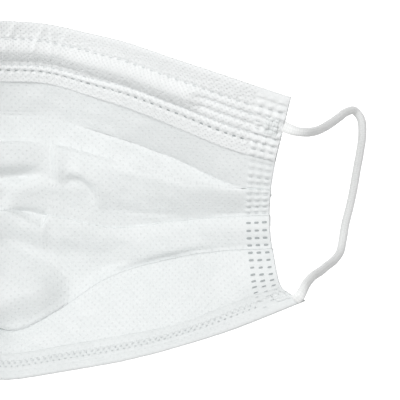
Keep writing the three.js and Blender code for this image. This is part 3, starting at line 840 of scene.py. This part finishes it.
def mark_tree():
    tree = bpy.data.node_groups.new("weld marks", "GeometryNodeTree")
    tree.interface.new_socket("Geometry", in_out="INPUT", socket_type="NodeSocketGeometry")
    for name, kind, default in MARK_SIZES:
        socket = tree.interface.new_socket(name, in_out="INPUT", socket_type=f"NodeSocket{kind}")
        socket.default_value = default
    tree.interface.new_socket("Finish", in_out="INPUT", socket_type="NodeSocketMaterial")
    tree.interface.new_socket("Geometry", in_out="OUTPUT", socket_type="NodeSocketGeometry")
    given = tree.nodes.new("NodeGroupInput")
    sides = {"Width": given.outputs["Length"], "Height": given.outputs["Width"]}
    outline = add_node(tree, "GeometryNodeCurvePrimitiveQuadrilateral", sides)
    radius = calc(tree, "MULTIPLY", given.outputs["Width"], 0.46)
    corners = {"Curve": outline.outputs["Curve"], "Radius": radius}
    rounded = add_node(tree, "GeometryNodeFilletCurve", corners, {"Count": 3}, mode="POLY")
    film = add_node(tree, "GeometryNodeFillCurve", {"Curve": rounded.outputs["Curve"]}, mode="NGONS")
    film_mesh = {"Mesh": film.outputs["Mesh"]}
    flat = add_node(tree, "GeometryNodeExtrudeMesh", film_mesh, {"Offset Scale": FILM}, mode="FACES")
    turn = add_node(tree, "FunctionNodeAxesToRotation", primary_axis="Z", secondary_axis="X")
    for index, name in enumerate(("up", "along")):
        stored = add_node(tree, "GeometryNodeInputNamedAttribute", data_type="FLOAT_VECTOR")
        stored.inputs["Name"].default_value = name
        tree.links.new(stored.outputs["Attribute"], turn.inputs[index])
    size = add_node(tree, "FunctionNodeRandomValue", {"Seed": given.outputs["Seed"]}, data_type="FLOAT")
    for index, operation in ((2, "SUBTRACT"), (3, "ADD")):
        tree.links.new(calc(tree, operation, 1.0, given.outputs["Unevenness"]), size.inputs[index])
    spots = {"Points": given.outputs["Geometry"], "Instance": flat.outputs["Mesh"]}
    spots |= {"Rotation": turn.outputs[0], "Scale": size.outputs[1]}
    placed = add_node(tree, "GeometryNodeInstanceOnPoints", spots)
    real = add_node(tree, "GeometryNodeRealizeInstances", {"Geometry": placed.outputs["Instances"]})
    dressed = {"Geometry": real.outputs["Geometry"], "Material": given.outputs["Finish"]}
    finish = add_node(tree, "GeometryNodeSetMaterial", dressed)
    result = tree.nodes.new("NodeGroupOutput")
    tree.links.new(finish.outputs["Geometry"], result.inputs["Geometry"])
    return tree


WELD_TREE = mark_tree()
MARK_LIFT = 0.1


def weld_marks(name, places, material, lift=MARK_LIFT, **inputs):
    """places holds (point, along, up) in millimetres; returns the marks as one plain mesh."""
    cloud = bpy.data.meshes.new(name + "_points")
    points = [p + up * lift for p, _, up in places]
    cloud.from_pydata([tuple(p * MM) for p in points], [], [])
    for key, index in (("along", 1), ("up", 2)):
        values = np.array([place[index] for place in places], float)
        cloud.attributes.new(key, "FLOAT_VECTOR", "POINT").data.foreach_set("vector", values.ravel())
    holder = bpy.data.objects.new(name + "_points", cloud)
    bpy.context.scene.collection.objects.link(holder)
    modifier = holder.modifiers.new("marks", "NODES")
    modifier.node_group = WELD_TREE
    items = WELD_TREE.interface.items_tree
    sockets = {item.name: item.identifier for item in items if item.in_out == "INPUT"}
    for key, value in {**inputs, "Finish": material}.items():
        modifier[sockets[key]] = value
    bpy.context.view_layer.update()
    mesh = bpy.data.meshes.new_from_object(holder.evaluated_get(bpy.context.evaluated_depsgraph_get()))
    mesh.name = name
    bpy.data.objects.remove(holder)
    piece = bpy.data.objects.new(name, mesh)
    bpy.context.scene.collection.objects.link(piece)
    print(name, len(places), "marks,", len(mesh.polygons), "faces")
    return piece


def on_grid(grid, row, column):
    """Point, direction along the mask and normal at a place between a grid's points."""
    r, c = min(int(row), grid.shape[0] - 2), min(int(column), grid.shape[1] - 2)
    fr, fc = row - r, column - c
    q = grid[r : r + 2, c : c + 2]
    point = (q[0, 0] * (1 - fc) + q[0, 1] * fc) * (1 - fr) + (q[1, 0] * (1 - fc) + q[1, 1] * fc) * fr
    along = q[0, 1] - q[0, 0] + q[1, 1] - q[1, 0]
    across = q[1, 0] - q[0, 0] + q[1, 1] - q[0, 1]
    along, across = along / np.linalg.norm(along), across / np.linalg.norm(across)
    up = np.cross(across, along)
    return point, along, up / np.linalg.norm(up)


print("the tree for weld marks has", len(WELD_TREE.nodes), "nodes")

# %% [markdown]
# ## Materials of the cloth
# Spunbond polypropylene: endless fibres laid at random and bonded by a hot roller with small points in
# a staggered pattern, 2.65 mm apart in a row, or 1.8 mm in the finer cover web. It is white and matt,
# with a faint sheen from its fibres, and a bond point is a shallow dent in which the fibres have melted
# and let a little more light pass. Here that is only a slightly darker colour.


# %% Spunbond nonwoven
def bond_points(tree, across_mm, down_mm, radius_mm):
    """1 in a bond point and 0 beside it, from the cloth's own measured coordinates."""
    place = add_node(tree, "ShaderNodeUVMap", uv_map="cloth")
    found = []
    for shift in (0.0, 0.5):
        lattice = {"Scale": (1 / (across_mm * MM), 1 / (down_mm * MM), 1), "Location": (shift, shift, 0)}
        turned = add_node(tree, "ShaderNodeMapping", {"Vector": place.outputs["UV"]}, lattice)
        vector = turned.outputs["Vector"]
        centre, size = {1: (0.5, 0.5, 0)}, {1: (across_mm, down_mm, 0)}
        for operation, values in (("FRACTION", None), ("SUBTRACT", centre), ("MULTIPLY", size)):
            step = add_node(tree, "ShaderNodeVectorMath", {0: vector}, values, operation=operation)
            vector = step.outputs["Vector"]
        away = add_node(tree, "ShaderNodeVectorMath", {0: vector}, operation="LENGTH").outputs["Value"]
        edge = {"From Min": radius_mm * 0.6, "From Max": radius_mm * 1.35, "To Min": 1.0, "To Max": 0.0}
        point = add_node(tree, "ShaderNodeMapRange", {"Value": away}, edge, interpolation_type="SMOOTHSTEP")
        found.append(point.outputs["Result"])
    pressed = add_node(tree, "ShaderNodeAttribute", attribute_name="pressed")
    kept = calc(tree, "SUBTRACT", 1.0, pressed.outputs["Fac"])
    return calc(tree, "MULTIPLY", calc(tree, "MAXIMUM", *found), kept)


def spunbond(name, colour, shade, point_depth, fibre_depth, lattice=(2.65, 2.56, 0.31)):
    """Fibres mottle the colour and roughen it, and bond points are darker dents. Depths in millimetres."""
    sheen = {"Sheen_Weight": 0.12, "Sheen_Roughness": 0.5}
    material, tree, shader = new_material(name, colour, 0.82, IOR=1.49, **sheen)
    points = bond_points(tree, *lattice)
    fibres = noise(tree, 0.55, Detail=3.0, Roughness=0.7, Distortion=1.2)
    spread = {"From Min": 0.3, "From Max": 0.7, "To Min": 0.0, "To Max": 0.35}
    clouds = {"Value": noise(tree, 5.0, Detail=2.0)}
    cloudy = add_node(tree, "ShaderNodeMapRange", clouds, spread).outputs["Result"]
    even = blend(tree, cloudy, blend(tree, fibres, shade, colour), colour)
    bonded = blend(tree, calc(tree, "MULTIPLY", points, 0.28), even, shade)
    tree.links.new(bonded, shader.inputs["Base Color"])
    dents = calc(tree, "MULTIPLY", points, -point_depth)
    bumped(tree, shader, calc(tree, "MULTIPLY_ADD", fibres, fibre_depth, dents))
    return material


FINE_LATTICE = (1.8, 1.7, 0.27)
nonwoven = spunbond("spunbond polypropylene, inner face", "#F0F2F2", "#DADEDE", 0.085, 0.07)
# The cover web is a little lighter than the body: partly its own, as more plies lie there, partly painted
# light.
border_cloth = spunbond("spunbond polypropylene, cover web", "#F5F6F6", "#E6E9E9", 0.125, 0.08, FINE_LATTICE)
# The lower border is the same ply turned over, and its greyer colour is painted shade.
shaded_lower_border_cloth = spunbond("spunbond polypropylene, lower border, painted shade", "#ECEEEE", "#D8DCDC", 0.06, 0.07)
print("cloth:", [cloth.name for cloth in (nonwoven, border_cloth, shaded_lower_border_cloth)])

# %% [markdown]
# A weld mark is melted polypropylene, smoother than the cloth. The real film is a little see-through
# to the dark between the plies, which is given here by a greyer colour. The elastic is a knitted tube of
# polyester and spandex over a soft core. The nose wire is galvanised steel in a white polyethylene coat,
# and only the bulge of its channel shows.

# %% Weld film, elastic and coated wire
def mottled(name, colours, size, detail, roughness, ior):
    """A smooth plastic whose colour wavers between the last two of its three."""
    material, tree, shader = new_material(name, colours[0], roughness, IOR=ior)
    wavering = blend(tree, noise(tree, size, Detail=detail), *colours[1:])
    tree.links.new(wavering, shader.inputs["Base Color"])
    return material


def melted_film(name, *colours):
    """Where the layers are pressed thinner the film is a little darker."""
    return mottled(name, colours, 0.4, 2.0, 0.42, 1.49)


weld_film = melted_film("melted polypropylene film", "#A9AFB0", "#989E9F", "#BABFC0")
pale_film = melted_film("melted polypropylene film, thick", "#D6D9DA", "#CDD1D2", "#DFE2E2")
fused_end = melted_film("elastic melted into cloth", "#E4E7E7", "#DADEDE", "#EEF0F0")
WIRE_COLOURS = ("#D9DCDB", "#D0D4D3", "#E0E3E2")
coated_wire = mottled("polyethylene-coated steel wire", WIRE_COLOURS, 2.5, 3.0, 0.42, 1.51)

COURSE, WALE = 0.62, 0.83  # a stitch's length along the cord and round it, in millimetres
STITCH_DEPTH = 0.09
sheen = {"Sheen_Weight": 0.2, "Sheen_Roughness": 0.4}
elastic, tree, shader = new_material("knitted polyester elastic", "#FAFBFA", 0.85, IOR=1.5, **sheen)
place = add_node(tree, "ShaderNodeUVMap", uv_map="cloth")
pitch = {"Scale": (1 / (COURSE * MM), 1 / (WALE * MM), 1)}
stitch = add_node(tree, "ShaderNodeMapping", {"Vector": place.outputs["UV"]}, pitch)
cells = add_node(
    tree,
    "ShaderNodeTexVoronoi",
    {"Vector": stitch.outputs["Vector"]},
    {"Scale": 1.0, "Randomness": 0.35},
    voronoi_dimensions="2D",
    feature="F1",
)
# Each stitch is palest in its middle and greyer towards its edge: painted shade in the grooves between
# stitches, beside the bump's real dents.
tree.links.new(blend(tree, cells.outputs["Distance"], "#FDFDFD", "#E4E7E5"), shader.inputs["Base Color"])
bumped(tree, shader, calc(tree, "MULTIPLY", cells.outputs["Distance"], -STITCH_DEPTH))
print("plastics:", [plastic.name for plastic in (weld_film, pale_film, fused_end, coated_wire, elastic)])

# %% [markdown]
# ## The marks on the cloth
# Each mark is put on the finished grid that it belongs to, at a place between the grid's points, so it
# follows every fold and pillow there. In the side bands the marks are larger and darker below the middle
# pleat's fold, where the cloth is puffed less.

# %% Marks in place
top_places = rows_at(first, last, top_shares)
low_places = rows_at(first_low, last_low, low_shares)
side_marks, puffed_marks = [], []
for place, distance, side in weld_dashes:
    u = side * (1 - distance / HALF_LENGTH)
    if place < last:
        grid, columns, row = top_hem_grid, hem_u, index_at(place, top_places)
    elif place > first_low:
        grid, columns, row = low_hem_grid, hem_u, index_at(place, low_places)
    else:
        grid, columns, row = body, body_u, place
    marked = side_marks if marks["middle_fold"] < place < first_low + 0.5 else puffed_marks
    marked.append(on_grid(grid, row, index_at(u, columns)))
side_weld = weld_marks("side_weld_marks", side_marks, weld_film, Length=DASH_LONG * MM, Width=DASH_WIDE * MM)
puffed_weld = weld_marks("puffed_weld_marks", puffed_marks, pale_film, Length=1.3 * MM, Width=0.34 * MM)

TOP_ROWS_END, DOTS_END = 70.5, 74  # from the middle of the mask
top_marks, last_marks = [], []
nose_x = line_at("nose_edge", hem_u)[:, 0]
for k in range(len(TOP_WELDS)):
    for n in range(-40, 41):
        x = (n - 0.5 * (k % 2)) * DASH_PITCH
        u = np.interp(x, nose_x, hem_u)
        if abs(x) > TOP_ROWS_END or (k in (1, 2) and abs(u) < WIRE_REACH + 0.05):
            continue
        marked = last_marks if k == 4 else top_marks
        marked.append(on_grid(top_hem_grid, index_at(weld_share(k, u), top_shares), index_at(u, hem_u)))
top_weld = weld_marks("top_weld_marks", top_marks, pale_film, Length=1.3 * MM, Width=0.38 * MM)
last_weld = weld_marks("last_row_marks", last_marks, weld_film, Length=1.45 * MM, Width=0.4 * MM)

low_marks = []
chin_x = line_at("chin_edge", hem_u)[:, 0]
for k, dots in enumerate(LOW_DOTS):
    for n in range(-40, 41):
        x = (n - 0.5 * k) * DOT_PITCH
        if abs(x) < DOTS_END:
            column = index_at(np.interp(x, chin_x, hem_u), hem_u)
            low_marks.append(on_grid(low_hem_grid, index_at(dots, low_shares), column))
DOT = 0.62 * MM
bottom_weld = weld_marks("bottom_weld_marks", low_marks, pale_film, lift=0.2, Length=DOT, Width=DOT)

# %% [markdown]
# ## Where the loops are welded on
# The end of each elastic is pressed into the border with a knurled tool. What is left is a rough little
# patch, a few millimetres long, of cloth and elastic melted into each other.

# %% Welded patches
PATCHES = {  # on which border, from and to along the mask, from and to across the border
    "upper": (top_hem_grid, top_shares, 0.930, 0.985, 0.32, 0.60),
    "lower": (low_hem_grid, low_shares, 0.945, 0.990, 0.22, 0.80),
}
PATCH_WALL = 0.3


def welded_patch(name, border, shares, start, stop, top, bottom, side, seed):
    """A rough, knurled plate on a border, sunk at its rim."""
    cells = 30
    points = []
    for j in range(cells + 1):
        for i in range(cells + 1):
            a, b = (i / cells if side > 0 else 1 - i / cells), j / cells
            row = index_at(top + (bottom - top) * b, shares)
            column = index_at(side * (start + (stop - start) * a), hem_u)
            point, _, up = on_grid(border, row, column)
            inset = min(a, 1 - a, b, 1 - b)
            lift = -0.25 + 0.55 * smoothstep(np.array(inset), 0.0, 0.12)
            one_way, other_way = a * 6.5 * np.pi + b * 5 * np.pi, a * 6.5 * np.pi - b * 5 * np.pi
            knurl = 0.5 + 0.5 * np.cos(one_way) * np.cos(other_way)
            rough = 0.24 * knurl + 0.12 * wobble(np.array(point[0]), np.array(point[1]), 0.9, seed)
            points.append(point + up * (lift + rough * smoothstep(np.array(inset), 0.0, 0.1)))
    return cloth_piece(name, np.reshape(points, (cells + 1, cells + 1, 3)), PATCH_WALL)


patches = {}
for place, where in PATCHES.items():
    for word, side in (("left", -1), ("right", 1)):
        patches[place, word] = welded_patch(f"{place}_patch_{word}", *where, side, 60 + len(patches))
print("patches:", [piece.name for piece in patches.values()])

# %% [markdown]
# ## What each piece stands for
# Every new piece rides on the one body, and the table lists the record's finish slot that it is painted from.
# The cloth, the borders, the loops and the patches each take the place of a CAD node. The weld marks are
# added detail and replace nothing. The wire keeps its CAD shape, because a flat coated wire is all it is.

# %% Pieces, bodies and slots
FINISHES = (
    (mask_cloth, nonwoven, "nonwoven", ("mask_body",)),
    (top_border, border_cloth, "folded_border", ("top_hem",)),
    (bottom_border, shaded_lower_border_cloth, "folded_border", ("bottom_hem",)),
    (side_weld, weld_film, "nonwoven", ()),
    (puffed_weld, pale_film, "nonwoven", ()),
    (top_weld, pale_film, "folded_border", ()),
    (last_weld, weld_film, "folded_border", ()),
    (bottom_weld, pale_film, "folded_border", ()),
    *((loops[word][0], elastic, "elastic", (f"ear_loop_{word}",)) for word in ("left", "right")),
    *((patch, fused_end, "elastic", ("_weld_".join(key),)) for key, patch in patches.items()),
)
for piece, material, slot, nodes in FINISHES:
    if not piece.data.materials:
        piece.data.materials.append(material)
    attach(piece, "root")
    if nodes:
        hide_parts(*nodes)
nose_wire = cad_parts["nose_wire"]
nose_wire.data.materials.clear()
nose_wire.data.materials.append(coated_wire)
print(len(FINISHES), "pieces replace", sum(len(nodes) for *_, nodes in FINISHES), "CAD nodes")

# %% [markdown]
# ## What is soft
# The loops bend freely, and the cloth is soft. Both measured here on the pieces' own surfaces or
# routes.


# %% [markdown]
# ## Table and light
# The table is white and glows, so that it is seen as pure white. Its glow isn't physical: a flag keeps
# the table out of the diffuse light, so it doesn't brighten the edges that face it, and only
# reflections still see it. A soft lamp stands at the upper left, beyond the nose edge, and a white room
# gives about half the light on what faces up. What faces the lamp is bright, and what faces the chin
# edge and the right is grey.

# %% Table
TABLE_REACH = 1200  # millimetres from the middle to each side
TABLE_CORNERS = ((-1, -1), (1, -1), (1, 1), (-1, 1))
table = mesh_piece("floor", [(x * TABLE_REACH, y * TABLE_REACH, 0) for x, y in TABLE_CORNERS], [(0, 1, 2, 3)])
TABLE_GLOW = 1.0
table_white, _, table_shader = new_material(
    "white laminate, lit from below", "#FAFAFA", 0.7, Emission_Strength=TABLE_GLOW
)
table_shader.inputs["Emission Color"].default_value = linear("#FFFFFF")
table.data.materials.append(table_white)
table.visible_diffuse = False  # seen by the camera and in reflections only
print("the table is", 2 * TABLE_REACH * MM, "m wide")

# %% Lamp and room
LAMP_PLACE = Vector((-0.36, 0.3, 0.94))
LAMP_AIM = Vector((0.03, 0, 0.02))
LAMP_SIZE, LAMP_POWER = 0.6, 6.7
ROOM_STRENGTH = 0.52
lamp_data = bpy.data.lights.new("soft box", "AREA")
lamp_data.shape = "RECTANGLE"
lamp_data.size, lamp_data.size_y = LAMP_SIZE, LAMP_SIZE
lamp_data.energy = LAMP_POWER
lamp = bpy.data.objects.new("soft box", lamp_data)
lamp.location = LAMP_PLACE
lamp.rotation_euler = (LAMP_AIM - LAMP_PLACE).to_track_quat("-Z", "Y").to_euler()
bpy.context.scene.collection.objects.link(lamp)

room = bpy.data.worlds.new("room")
room.use_nodes = True
background = room.node_tree.nodes["Background"].inputs
background["Color"].default_value = linear("#FFFFFF")
background["Strength"].default_value = ROOM_STRENGTH
bpy.context.scene.world = room
bpy.context.scene.view_settings.view_transform = "Standard"
print("lamp", LAMP_POWER, "W,", round((LAMP_AIM - LAMP_PLACE).length, 2), "m away, room", ROOM_STRENGTH)

# %% The end
bpy.context.view_layer.update()
